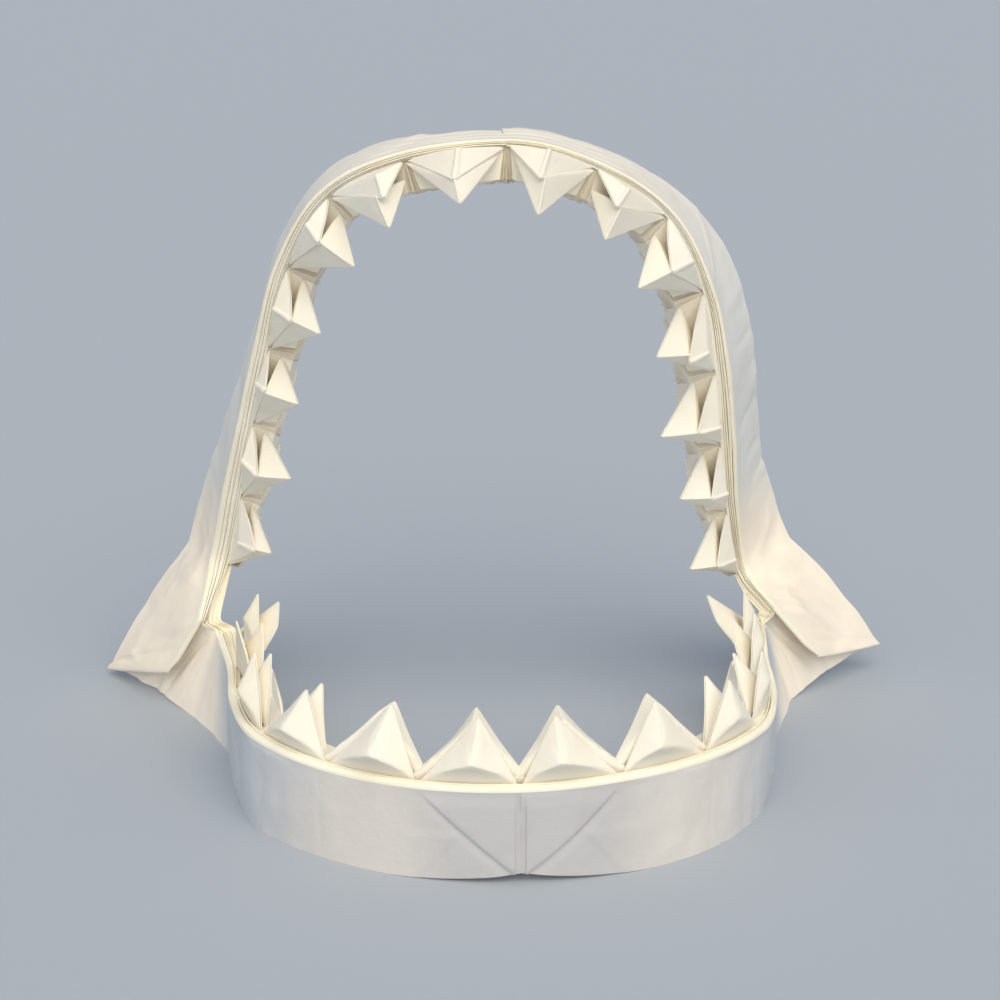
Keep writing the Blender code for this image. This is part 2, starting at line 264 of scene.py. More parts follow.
def noise(x, y, seed):
    """Smooth noise from -1 to 1 with features one unit apart."""
    size = 61
    table = np.random.default_rng(seed).uniform(-1, 1, (size, size))
    xi, yi = np.floor(x).astype(int), np.floor(y).astype(int)
    fx, fy = x - xi, y - yi
    fx, fy = fx * fx * (3 - 2 * fx), fy * fy * (3 - 2 * fy)

    def at(i, j):
        return table[(xi + i) % size, (yi + j) % size]

    return lerp(lerp(at(0, 0), at(1, 0), fx), lerp(at(0, 1), at(1, 1), fx), fy)


def spline(points, s):
    """A smooth curve through the points, one unit of s from each to the next."""
    last = len(points) - 1
    i = np.clip(np.floor(s).astype(int), 0, last - 1)
    f = (s - i)[..., None]
    p1, p2 = points[i], points[i + 1]
    p0 = np.where((i > 0)[..., None], points[np.maximum(i - 1, 0)], 2 * p1 - p2)
    p3 = np.where((i + 2 <= last)[..., None], points[np.minimum(i + 2, last)], 2 * p2 - p1)
    return 0.5 * (2 * p1 + (p2 - p0) * f + (2 * p0 - 5 * p1 + 4 * p2 - p3) * f * f
                  + (3 * p1 - p0 - 3 * p2 + p3) * f * f * f)


class Rim:
    """One half of a jaw's rim, from the middle out, and the frame of the band along it."""

    def __init__(self, jaw, side):
        self.jaw = jaw
        self.side = side
        self.label = "left" if side < 0 else "right"
        upper = jaw == "upper"
        headings = (UPPER_RIM if upper else LOWER_RIM)[side]
        self.flare = (UPPER_FLARE if upper else LOWER_FLARE)[side]
        self.back_axis = np.array((0.0, 1.0, 0.0) if upper else (0.0, 0.0, -1.0))
        self.teeth = len(headings)
        self.last = self.teeth + 1
        self.corner = np.array(MOUTH_CORNER[side])
        place = np.array(MIDDLE[jaw])
        pinches = [place.copy()]
        for heading, slope in headings:
            a, e = math.radians(heading), math.radians(slope)
            place = place + (side * math.cos(e) * math.cos(a), math.cos(e) * math.sin(a), math.sin(e))
            pinches.append(place.copy())
        mirrored = pinches[1] * (-1, 1, 1)
        self.shift = MIDDLE_SHIFT[jaw]
        pinches[0] = pinches[0] + (self.shift, 0, 0)
        self.curve = np.array([mirrored] + pinches + [self.corner])

    def point(self, s):
        return spline(self.curve, np.asarray(s, float) + 1)

    def frame(self, s):
        """Place, direction along the rim, back along the band, and in towards the mouth."""
        s = np.asarray(s, float)
        step = 0.02
        ahead = self.point(np.minimum(s + step, self.last))
        behind = self.point(np.maximum(s - step, 0))
        behind = np.where((s <= 0)[..., None], ahead * (-1, 1, 1) + (2 * self.shift, 0, 0), behind)
        behind = np.where((s < 0)[..., None], self.point(s - step), behind)
        along = unit(ahead - behind)
        back = unit(self.back_axis - dot(along, self.back_axis) * along)
        turn = -self.side if self.jaw == "upper" else self.side
        return self.point(s), along, back, turn * np.cross(along, back)

    def place(self, s, height, inset):
        here, _, back, inward = self.frame(s)
        return here - back * np.asarray(height)[..., None] + inward * np.asarray(inset)[..., None]

    def share(self, s):
        return between(LEDGE_SHARE[self.jaw], s)

    def stack(self, s):
        return between(STACK_WIDTH[self.jaw, self.side], s)

    def drawn_in(self, s):
        if self.jaw == "upper":
            return np.zeros_like(s)
        return between(DRAWN_IN[self.side], s) * (1 - np.clip(s - self.teeth, 0, 1)) ** 1.5


def to_metres(p):
    return (p - ORIGIN) * TOOTH_PITCH


class Piece:
    """Gathers paper shells into one object."""

    def __init__(self, name, *nodes):
        self.name = name
        self.nodes = nodes
        self.points = []
        self.faces = []

    def add(self, points, faces):
        start = sum(len(p) for p in self.points)
        self.points.append(points)
        self.faces += [tuple(start + i for i in face) for face in faces]

    def sheet(self, grid, thickness=PAPER, floor=None):
        """A closed shell round a grid of points, and none of it below the floor if that is given."""
        rows, columns = grid.shape[:2]
        normal = grid_normals(grid)
        front = grid + normal * (thickness / 2)
        rear = grid - normal * (thickness / 2)
        points = np.concatenate((front.reshape(-1, 3), rear.reshape(-1, 3)))
        if floor is not None:
            points[:, 2] = np.maximum(points[:, 2], floor)
        count = rows * columns
        faces = []
        for i in range(rows - 1):
            for j in range(columns - 1):
                a = i * columns + j
                b, c, d = a + 1, a + columns + 1, a + columns
                faces.append((a, d, c, b))
                faces.append((count + a, count + b, count + c, count + d))
        border = list(range(columns))
        border += [i * columns + columns - 1 for i in range(1, rows)]
        border += [(rows - 1) * columns + j for j in range(columns - 2, -1, -1)]
        border += [i * columns for i in range(rows - 2, 0, -1)]
        for a, b in zip(border, border[1:] + border[:1]):
            faces.append((a, b, count + b, count + a))
        self.add(points, faces)

    def make(self, material, sharp=38):
        """The object itself, smooth up to that angle between faces, in degrees."""
        data = bpy.data.meshes.new(self.name)
        points = to_metres(np.concatenate(self.points))
        data.from_pydata(points.tolist(), [], self.faces)
        mesh = bmesh.new()
        mesh.from_mesh(data)
        bmesh.ops.recalc_face_normals(mesh, faces=mesh.faces[:])
        mesh.to_mesh(data)
        mesh.free()
        data.shade_smooth()
        data.set_sharp_from_angle(angle=math.radians(sharp))
        data.materials.append(material)
        made = bpy.data.objects.new(self.name, data)
        bpy.context.scene.collection.objects.link(made)
        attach(made, "root")
        if self.nodes:
            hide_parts(*self.nodes)


def grid_normals(grid):
    """Which way each point of a sheet faces."""
    du = np.gradient(grid, axis=0)
    dv = np.gradient(grid, axis=1)
    return unit(np.cross(du, dv))


def steps(start, end, per_unit):
    """Evenly spaced places, both ends included."""
    return np.linspace(start, end, int(round((end - start) * per_unit)) + 1)


def roll(edge, across, outward, radius, inside):
    """Rows of points that take a sheet's edge round a fold of that radius and back inside it."""
    rows = []
    for share in (inside, 0.4 * inside, 0.0):
        rows.append(edge + across * (radius + share) - 2 * outward * radius)
    for angle in (30, 60, 90, 120, 150):
        a = math.radians(angle)
        rows.append(edge + across * radius * (1 - math.sin(a)) - outward * radius * (1 + math.cos(a)))
    rows.append(edge + across * radius)
    return rows


def level(s, value):
    """The same value at every place, as the second coordinate of noise along a line."""
    return np.full(s.shape, float(value))


def band_edge(rim, s):
    """The free edge of the outer band: the foot of the lower jaw, or the rear edge of the upper."""
    here, _, back, inward = rim.frame(s)
    lean = np.radians(between(rim.flare, s))[..., None]
    leaning = back * np.cos(lean) - inward * np.sin(lean)
    if rim.jaw == "upper":
        return here + leaning
    lift = FOOT_LIFT * np.maximum(0, 1 - s / LIFTED_LENGTH) ** 2
    return here + leaning * ((here[..., 2] - lift) / -leaning[..., 2])[..., None]


def sheet_rows(front, edge, outward, depth_steps, radius):
    """Rows from inside the front fold, round it and across to the free edge."""
    across = unit(edge - front)
    rows = roll(front, across, outward, radius, inside=0.12)
    start = radius / np.linalg.norm(edge - front, axis=-1, keepdims=True)
    for k in range(1, depth_steps + 1):
        f = start + (1 - start) * k / depth_steps
        rows.append(lerp(front, edge, f))
    return np.array(rows).transpose(1, 0, 2)


def groove(distance, width):
    """A soft dent: -1 on the line and 0 away from it."""
    return -np.exp(-(distance / width) ** 2)


def creases(x, y, seed):
    """Crisp fold lines of handled paper: 1 on a line and near 0 between, fainter in places."""
    strength = smooth(-0.5, 0.5, noise(x * 0.8 + 5, y * 0.8, seed + 100))
    return (1 - np.abs(noise(x, y, seed))) ** 3 * strength


def upper_relief(rim, s, depth):
    """How far wrinkles and creases lift the upper band and its flap, over s and the depth from the rim."""
    side = rim.side
    relief = 0.012 * noise(s * 2.6, depth * 1.3, 10 + side) + 0.004 * noise(s * 7, depth * 3, 20 + side)
    flap = smooth(*UPPER_FLAP, s)
    relief += flap * (0.012 + 0.024 * noise(s * 5 + depth * 2, depth * 1.5 - s, 24 + side))
    relief += flap * 0.014 * noise(s * 3.4 - depth * 4, depth * 2 + s, 25 + side)
    relief += flap * 0.010 * noise(s * 9 + depth * 3, depth * 5 - 2 * s, 27 + side)
    if side > 0:
        relief += flap * 0.036 * creases(s * 3.2 + depth * 1.4, depth * 1.8 - s * 0.9, 28 + side)
    else:
        relief += flap * 0.030 * creases(depth * 3.2 + s * 0.9, s * 1.4 - depth * 0.5, 28 + side)
    relief += (1 - flap) * 0.010 * creases(s * 1.7 + depth * 0.6, depth * 1.1, 38 + side)
    # the edges of inner layers that show through near the middle
    for k, place in enumerate(SHOWN_EDGES):
        line = depth - place - 0.03 * noise(s * 1.5, level(s, k * 3.3), 26 + side)
        relief += 0.014 * smooth(-0.02, 0.02, line) * (1 - smooth(1.2, 2.3, s))
    if side > 0:    # one diagonal crease
        line = s - (3.05 - 0.5 * depth)
        relief += 0.014 * smooth(-0.12, 0, line) * (1 - smooth(0, 0.05, line))
    for place, width in UPPER_FOLDS[side]:
        line = s - place - UPPER_FOLD_SLOPE[side] * depth
        relief += UPPER_FOLD_SIZE[side] * groove(line, width) * smooth(0.1, 0.5, depth)
    # the soft fold where the flap leaves the band
    relief += 0.03 * groove(s - 6.75 - 0.35 * depth, 0.13) * smooth(0.15, 0.6, depth)
    return relief


def lower_relief(rim, s, depth):
    """The same for the lower band and its flap."""
    side = rim.side
    relief = 0.014 * noise(s * 2.2, depth * 1.6, 30 + side) + 0.006 * noise(s * 6, depth * 3, 40 + side)
    relief *= smooth(0.8, 3, s) * 0.7 + 0.3
    # the folded-in corner whose edge runs from the first pinch to the foot of the middle
    line = (0.97 - 0.91 * depth - s) * 0.74
    relief += 0.014 * smooth(-0.012, 0.012, line) * smooth(0.0, 0.2, depth)
    relief += 0.010 * groove(line + 0.03, 0.05) * smooth(0.0, 0.3, depth)
    # a fainter one that crosses it
    other = (s - 0.55 - 0.8 * (depth - 0.45)) * 0.74
    relief += 0.008 * smooth(-0.04, 0.04, other) * smooth(0.42, 0.55, depth) * (1 - smooth(0.9, 1.4, s))
    # the open seam in the middle
    relief -= 0.022 * (1 - smooth(0.046, 0.058, s)) * smooth(0, 0.25, depth)
    relief += 0.004 * groove(s - 2.02, 0.03) + 0.006 * groove(s - 3.35 - 0.1 * depth, 0.07)
    # the flap's wrinkles run up to the mouth corner, and one fold crosses it
    flap = smooth(*LOWER_FLAP, s) * smooth(0.2, 0.5, depth)
    relief += flap * 0.018 * noise(s * 9, depth * 0.9, 44 + side)
    relief += flap * 0.010 * noise(s * 19, depth * 1.7, 45 + side)
    relief -= flap * 0.035 * creases(s * 4.5 + depth, depth * 1.2, 48 + side)
    lines = creases(s * 1.9, depth * 1.3 + s * 0.3, 58 + side)
    relief += (1 - flap) * 0.008 * lines * smooth(0.1, 0.3, depth)
    fold = s - 6.75 + 0.5 * (depth - 0.4)
    relief += 0.018 * smooth(-0.18, 0, fold) * (1 - smooth(0, 0.03, fold)) * smooth(0.3, 0.6, depth)
    for place, width, size in LOWER_FOLDS:
        relief += size * groove(s - place - 0.15 * (depth - 0.5), width) * smooth(0.05, 0.5, depth)
    return relief


def relief_places(s, columns):
    """Place along the rim and depth from it, for each point of a band's grid."""
    x = s[:, None] * np.ones((1, columns))
    depth = np.clip((np.arange(columns) - ROLL) / (columns - ROLL - 1), 0, 1)[None, :]
    return x, depth * np.ones((len(s), 1))


def outward_normals(grid, outward):
    """A band's normals, turned to its outer side."""
    normal = grid_normals(grid)
    return normal * np.sign(np.sum(normal[:, ROLL + 5] * outward, axis=-1).mean())


def make_band(rim, grid, material, fold_material, floor=None):
    """The band takes the place of its two solids, and the fold along its front is a piece of its own."""
    jaw, half = rim.jaw, rim.label
    piece = Piece(f"{jaw}_band_{half}", f"{jaw}_jaw_{half}", f"{jaw}_flap_{half}")
    piece.sheet(grid[:, ROLL:], BAND_SHEET, floor=floor)
    piece.make(material)
    piece = Piece(f"{jaw}_rim_fold_{half}")
    piece.sheet(grid[:, :ROLL + 1], BAND_SHEET)
    piece.make(fold_material)


def upper_band(rim, material, fold_material):
    """The outer sheet of an upper half, with its corner flap and the hem under it."""
    teeth = rim.teeth
    s = np.concatenate((steps(0, teeth, BAND_STEPS), steps(teeth, rim.last, UPPER_FLAP_STEPS)[1:]))
    here, _, _, inward = rim.frame(s)
    front = here - inward * rim.stack(s)[:, None]
    edge = band_edge(rim, np.minimum(s, teeth))
    tip = np.array(FLAP_TIP[rim.side])
    start = band_edge(rim, np.array(float(teeth)))
    bow = (start - rim.corner) - dot(start - rim.corner, unit(tip - start)) * unit(tip - start)
    f = np.clip(s - teeth, 0, 1)[:, None]
    drawn = lerp(start, tip, f * FLAP_TIP_SHARE) + unit(bow) * FLAP_BOW * np.sin(math.pi * f)
    edge = np.where(f > 0, drawn, edge)
    # the hem, from the mouth corner down the fold
    hem = steps(0, 1, HEM_STEPS)[1:, None]
    fold = np.array(FLAP_FOLD[rim.side])
    front = np.concatenate((front, lerp(front[-1], fold, hem)))
    edge = np.concatenate((edge, lerp(edge[-1], tip, hem)))
    outward = np.concatenate((-inward, np.repeat(-inward[-1:], len(hem), axis=0)))
    outward = unit(outward - dot(outward, unit(edge - front)) * unit(edge - front))
    grid = sheet_rows(front, edge, outward, UPPER_DEPTH_STEPS, UPPER_ROLL_RADIUS)
    columns = grid.shape[1]
    normal = outward_normals(grid, outward)
    x, depth = relief_places(np.concatenate((s, rim.last + hem[:, 0] * 0.6)), columns)
    fade = smooth(0, 0.25, depth) * (1 - 0.4 * smooth(0.85, 1, depth))
    grid = grid + normal * (upper_relief(rim, x, depth) * fade)[..., None]
    # the front fold narrows to nothing at the flap's corner, and the hem turns under
    for row, share in ((-4, 0.2), (-3, 0.5), (-2, 0.85), (-1, 1.0)):
        grid[row, :ROLL] = lerp(grid[row, :ROLL], grid[row, ROLL], share)
    last = grid[-1]
    down = unit(last - grid[-3])
    down[:ROLL + 2] = down[ROLL + 2]
    beneath = -normal[-1]
    beneath[:ROLL + 2] = beneath[ROLL + 2]
    place = np.arange(columns)[:, None]
    full = smooth(ROLL, ROLL + 9, place) * (1 - 0.7 * smooth(columns - 12, columns - 1, place))
    radius = lerp(THIN_RADIUS, HEM_RADIUS, full)
    extra = []
    for angle in (30, 60, 90, 120, 150, 180):
        a = math.radians(angle)
        extra.append(last + down * radius * math.sin(a) + beneath * radius * (1 - math.cos(a)))
    extra.append(extra[-1] - down * HEM_WIDTH)
    make_band(rim, np.concatenate((grid, np.array(extra))), material, fold_material)


def lower_band(rim, material, fold_material):
    """The outer sheet of a lower half, down to the floor, and its corner flap behind the upper one."""
    teeth = rim.teeth
    s = np.concatenate((
        steps(0, SEAM_END, SEAM_STEPS),
        steps(SEAM_END, teeth, BAND_STEPS)[1:],
        steps(teeth, rim.last, BAND_STEPS)[1:],
    ))
    here, _, _, inward = rim.frame(np.minimum(s, teeth))
    f = np.clip(s - teeth, 0, 1)[:, None]
    tip = np.array(FLAP_TIP[rim.side])
    foot = band_edge(rim, np.array(float(teeth)))
    behind = unit(np.cross(tip - rim.corner, foot - rim.corner))
    last_inward = rim.frame(np.array(float(teeth)))[3]
    behind = behind * np.sign(np.sum(behind * last_inward))
    tuck = behind * UNDERLAP * np.minimum(1, 2.5 * f)
    down = rim.frame(np.array(float(rim.last)))[2]
    place = lerp(here, rim.corner + down * CORNER_DROP, f) + tuck
    front = place - inward * (rim.stack(s) - rim.drawn_in(s))[:, None]
    edge = np.where(f > 0, lerp(foot, tip, f) + tuck, band_edge(rim, np.minimum(s, teeth)))
    outward = -inward
    outward = unit(outward - dot(outward, unit(edge - front)) * unit(edge - front))
    full = (1 - smooth(*FOLD_END[rim.side], s))[:, None]
    grid = sheet_rows(front, edge, outward, LOWER_DEPTH_STEPS, lerp(THIN_RADIUS, LOWER_ROLL_RADIUS, full))
    normal = outward_normals(grid, outward)
    x, depth = relief_places(s, grid.shape[1])
    grid = grid + normal * (lower_relief(rim, x, depth) * smooth(0, 0.06, depth))[..., None]
    make_band(rim, grid, material, fold_material, floor=0.0)


def rim_stack(rim, material):
    """The folded edges that lie side by side along the rim, between the outer band and the teeth."""
    shares = STACK_LAYERS[rim.jaw, rim.side]
    end = rim.last if rim.jaw == "upper" else rim.teeth
    s = steps(0, end, STACK_STEPS)
    here, _, back, inward = rim.frame(s)
    piece = Piece(rim.jaw + "_rim_layers_" + rim.label)
    width = np.maximum(rim.stack(s), 0.06) + 0.012 if rim.jaw == "upper" else rim.stack(s)
    start = np.zeros(s.shape)
    for k, share in enumerate(shares):
        middle = start + 0.5 * share * width + 0.004 * noise(s * 1.7, level(s, k * 3.1), 50 + k)
        start = start + share * width
        depth = 0.005 * noise(s * 1.3, level(s, k * 5.7), 60 + k) + 0.006 * (k % 2) - 0.010
        half = 0.5 * share * width - 0.003
        centre = here - inward * (middle - 0.015 - rim.drawn_in(s))[:, None] + back * depth[:, None]
        rows = []
        for across, ahead in LAYER_PROFILE:
            rows.append(centre - inward * (half * across)[:, None] - back * (0.010 * ahead))
        tail = back * 0.05
        ring = np.array([rows[0] + tail] + rows + [rows[-1] + tail]).transpose(1, 0, 2)
        tube(piece, ring)
    piece.make(material, 60)


def corner_layers(upper, lower, material):
    """The bundle of folded edges from the upper rim, round the mouth corner and into the lower rim."""
    piece = Piece("corner_layers_" + upper.label)
    rng = np.random.default_rng(90 + upper.side)
    s_up = steps(upper.teeth - 0.35, upper.last - 0.05, BUNDLE_STEPS)
    s_low = steps(lower.teeth - 1.6, lower.last - 0.05, BUNDLE_STEPS)[::-1]
    here_up, here_low = upper.point(s_up), lower.point(s_low)
    _, _, back_up, in_up = upper.frame(np.minimum(s_up, upper.teeth + 0.2))
    _, _, back_low, in_low = lower.frame(np.minimum(s_low, lower.teeth - 0.2))
    outer_up = np.interp(s_up, (6.6, 7, 7.6, 8), (0.0, -0.03, -0.05, -0.07))
    width_up = np.interp(s_up, (6.6, 7, 7.5, 8), UPPER_BUNDLE[upper.side])
    outer_low = np.interp(s_low, (4.4, 6, 6.6, 7), (0.0, -0.02, -0.04, -0.06)) + lower.drawn_in(s_low)
    width_low = np.interp(s_low, (4.4, 5, 5.5, 6, 6.5, 7), LOWER_BUNDLE[lower.side])
    behind = np.concatenate((back_up, back_low * 0.6 + np.array((0.25 * upper.side, 0.8, 0.0))))
    columns = []
    for k in range(CORNER_LAYERS):
        ahead = 0.02 + 0.04 * rng.random()
        wave_up = 0.005 * noise(s_up * 4, level(s_up, k), 91)
        wave_low = 0.006 * noise(s_low * 4, level(s_low, k), 92)
        # each layer is flat on top, with rounded edges, and the last of its points lies in the gap
        for edge, below in ((0.06, 0.012), (0.2, 0), (0.6, 0), (0.74, 0.012), (0.88, 0.12)):
            f = (k + edge) / CORNER_LAYERS
            depth = ahead + below
            line = np.concatenate((
                here_up + in_up * (outer_up + f * width_up + wave_up)[:, None],
                here_low + in_low * (outer_low + f * width_low + wave_low)[:, None],
            ))
            towards = behind.copy()
            for _ in range(BUNDLE_SMOOTHING):
                line[1:-1] = (line[:-2] + 2 * line[1:-1] + line[2:]) / 4
                towards[1:-1] = (towards[:-2] + 2 * towards[1:-1] + towards[2:]) / 4
            columns.append(line + unit(towards) * depth)
    # the last layer goes back along the inside
    for depth in (0.1, 0.2, 0.3):
        columns.append(line + unit(towards) * depth)
    piece.sheet(np.array(columns).transpose(1, 0, 2), PAPER * 0.8)
    piece.make(material, 50)


def tube(piece, rings):
    """A closed solid through rings of points."""
    count, around = rings.shape[:2]
    faces = []
    for i in range(count - 1):
        for j in range(around):
            a, b = i * around + j, i * around + (j + 1) % around
            faces.append((a, b, b + around, a + around))
    faces.append(tuple(range(around)))
    faces.append(tuple((count - 1) * around + j for j in range(around)))
    piece.add(rings.reshape(-1, 3), faces)


def tooth_corners(rim, i, inner):
    """Base line, its two ends, the tip and the puffed middle of one tooth."""
    jaw, half = rim.jaw, (rim.jaw, rim.side)
    middle = i + 0.5
    row = OUTER_ROW[half]
    first, last = (0.06, 1.0) if inner else (0.02, 0.98)
    if jaw == "lower" and inner and i < 2:      # wider than their pitch, so neighbours cross
        first, last = -0.12, 1.12

    start_inset, end_inset, rise = 0.0, 0.0, 0.0
    if inner:
        start_inset, end_inset = INNER_START[half][i], INNER_END
    if jaw == "lower" and i > 2:
        near, rise, far, far_end = CORNER_TEETH[rim.side, i]
        end_inset += far
        if not inner:
            start_inset, last = near, far_end

    def base(u):
        s = i + first + (last - first) * u
        inset = row + lerp(start_inset, end_inset, u)
        return rim.place(np.minimum(s, rim.last), lerp(rise, 0, u) - 0.012, rim.share(s) * inset)

    left, right = base(np.array((0.0, 1.0)))
    row_here = rim.share(middle) * (row + ROW_SPACING * inner)
    _, along, back, inward = rim.frame(middle)
    height = TOOTH_HEIGHT[jaw, inner]
    if jaw == "lower":
        height += LOWER_TIP_RISE[rim.side, inner][i]
    tip = rim.place(middle, height, row_here + (INNER_TIP_INSET if inner else OUTER_TIP_INSET)[half][i])
    tip = tip + along * (INNER_SLANT if inner else OUTER_SLANT)[half][i]
    if inner and jaw == "lower" and i > 1:
        bulge = lerp(0.5 * (left + right), tip, 0.52) - inward * 0.12
    elif inner:     # it presses on the outer tooth's tip from behind
        bulge = tooth_corners(rim, i, 0)[3] + inward * (0.012 if jaw == "upper" else 0.08) + back * 0.01
    else:
        bulge = rim.place(middle, BULGE_HEIGHT[jaw][i], row_here - BULGE_OUT[half][i])
        bulge = bulge + along * BULGE_SLANT[half][i]
    return base, left, right, tip, bulge


def tooth(rim, i, inner):
    """The front and back sheets of one puffed tooth, as two grids."""
    jaw = rim.jaw
    rng = np.random.default_rng(1000 * (jaw == "upper") + 100 * (rim.side > 0) + 10 * i + inner)
    base, left, right, tip, bulge = tooth_corners(rim, i, inner)
    normal = unit(np.cross(right - left, tip - left))
    if np.dot(normal, rim.frame(i + 0.5)[3]) > 0:
        normal = -normal
    height = float(np.dot(bulge - left, normal))
    flat = bulge - height * normal
    # share of each corner at the bulge
    system = np.array((left, right, tip)).T
    b = np.linalg.lstsq(np.vstack((system, np.ones(3))), np.append(flat, 1), rcond=None)[0]
    b = np.clip(b, 0.12, 1)
    b = b / b.sum()
    centre = b[1] / (b[0] + b[1])
    q = np.linspace(-1, 1, TOOTH_COLUMNS)
    q = np.sign(q) * np.abs(q) ** 1.6
    u = np.where(q < 0, centre * (1 + q), centre + (1 - centre) * q)
    # rows follow the crease from each end of the base to the bulge
    w = np.concatenate((np.linspace(0, 1, TOOTH_ROWS[0]), np.linspace(1, 2, TOOTH_ROWS[1])[1:]))
    u, w = np.meshgrid(u, w)
    crease = b[2] * (0.04 + 0.96 * np.minimum(u / centre, (1 - u) / (1 - centre)))
    v = np.where(w < 1, w * crease, crease + (1 - crease) * (w - 1))
    share_left, share_right, share_tip = (1 - u) * (1 - v), u * (1 - v), v
    puff_near, puff_far = (1.08 if inner else 1.25, 1.1) if jaw == "upper" else (1.35, 1.35)
    side_near = height * (1 - (1 - np.clip(share_right / b[1], 0, 1)) ** puff_near)
    side_far = height * (1 - (1 - np.clip(share_left / b[0], 0, 1)) ** puff_far)
    foot = height * (share_tip / b[2]) ** (1.5 if jaw == "lower" and not inner else 1.0)
    ridge = soft_min(side_near, side_far, 0.012)
    along_ridge = np.clip((v - b[2]) / (1 - b[2]), 0, 1)
    across = np.abs(u - centre) * (1 - v)
    if jaw == "lower":
        cut = (0.01 if inner else 0.022) * np.sin(math.pi * along_ridge ** 0.8)
        reach = np.interp(along_ridge, (0, 0.35, 1), (0.015, 0.085, 0.012))
        ridge = ridge - cut * np.clip(1 - across / reach, 0, 1)
    rise = soft_min(ridge, foot, 0.04 if jaw == "lower" else 0.015)
    if jaw == "upper":      # the crest stands up as a narrow folded bar
        wide, tall = (0.012, 0.010) if inner else (0.022, 0.020)
        bar = tall * (1 - smooth(wide - 0.007, wide + 0.007, across)) * smooth(-0.07, 0.02, v - b[2])
        rise = rise + bar * smooth(0.002, 0.02, np.minimum(u, 1 - u) * (1 - v))
    rise = np.maximum(rise, 0)
    rise = rise + 0.005 * noise(u * 3 + 7, v * 3, int(rng.integers(999))) * smooth(0, 0.04, rise)
    far = (0.03 + 0.04 * rng.random()) * (1 if jaw == "lower" else 0.2) * (1 if inner else 0.4)
    near = 0.02 * inner if jaw == "lower" else (-0.04 if i > 1 and not inner else 0.0)
    if jaw == "lower" and i > 2:
        near = -CORNER_BOW[rim.side, i][inner]
    blunt = 0.022 if jaw == "upper" and not inner else 0.010
    hump = 0.08
    away = rim.frame(i + 0.5)[3] * rim.share(i + 0.5)

    def surface(u, v, rise, sag):
        flat = ((1 - u) * (1 - v))[..., None] * left + (u * (1 - v))[..., None] * right + v[..., None] * tip
        warp = base(u) - lerp(left, right, u[..., None])
        flat = flat + warp * ((1 - v) ** 2)[..., None]
        if inner:       # under the outer tooth it falls back to its own row
            flat = flat + away * (hump * 4 * u * (1 - u) * sag ** 2)[..., None]
        # the long edges bow, the far one inwards
        profile = np.interp(v, (0, 0.58, 1), (0, 1, 0))
        profile = 0.6 * profile + 0.4 * np.sin(math.pi * v)
        pull = profile * (far * np.clip(2 * u - 1, 0, 1) ** 1.3 - near * np.clip(1 - 2 * u, 0, 1) ** 1.3)
        chord = unit(right - left)
        flat = flat + chord * ((2 * u - 1) * v * blunt - pull)[..., None]
        return flat + normal * rise[..., None]

    sag = np.clip(1 - v / crease, 0, 1)
    front = surface(u, v, rise + PAPER * 0.7, sag)
    u2, v2 = np.meshgrid(np.linspace(0, 1, BACK_STEPS), np.linspace(0, 1, BACK_STEPS))
    hollow = -(0.05 if not inner or (jaw == "lower" and i > 2) else 0.2) * 4 * u2 * (1 - u2) * (1 - v2)
    back = surface(u2, v2, hollow, np.clip(1 - 2 * v2, 0, 1))
    return front, back


def teeth(rim, material):
    """The outer and the inner row of a half, one piece each."""
    for inner in (0, 1):
        piece = Piece(f"{rim.jaw}_{'inner' if inner else 'outer'}_teeth_{rim.label}")
        for i in range(rim.teeth):
            front, back = tooth(rim, i, inner)
            piece.sheet(front, PAPER * 0.6)
            piece.sheet(back, PAPER * 0.7)
        piece.make(material, 30)


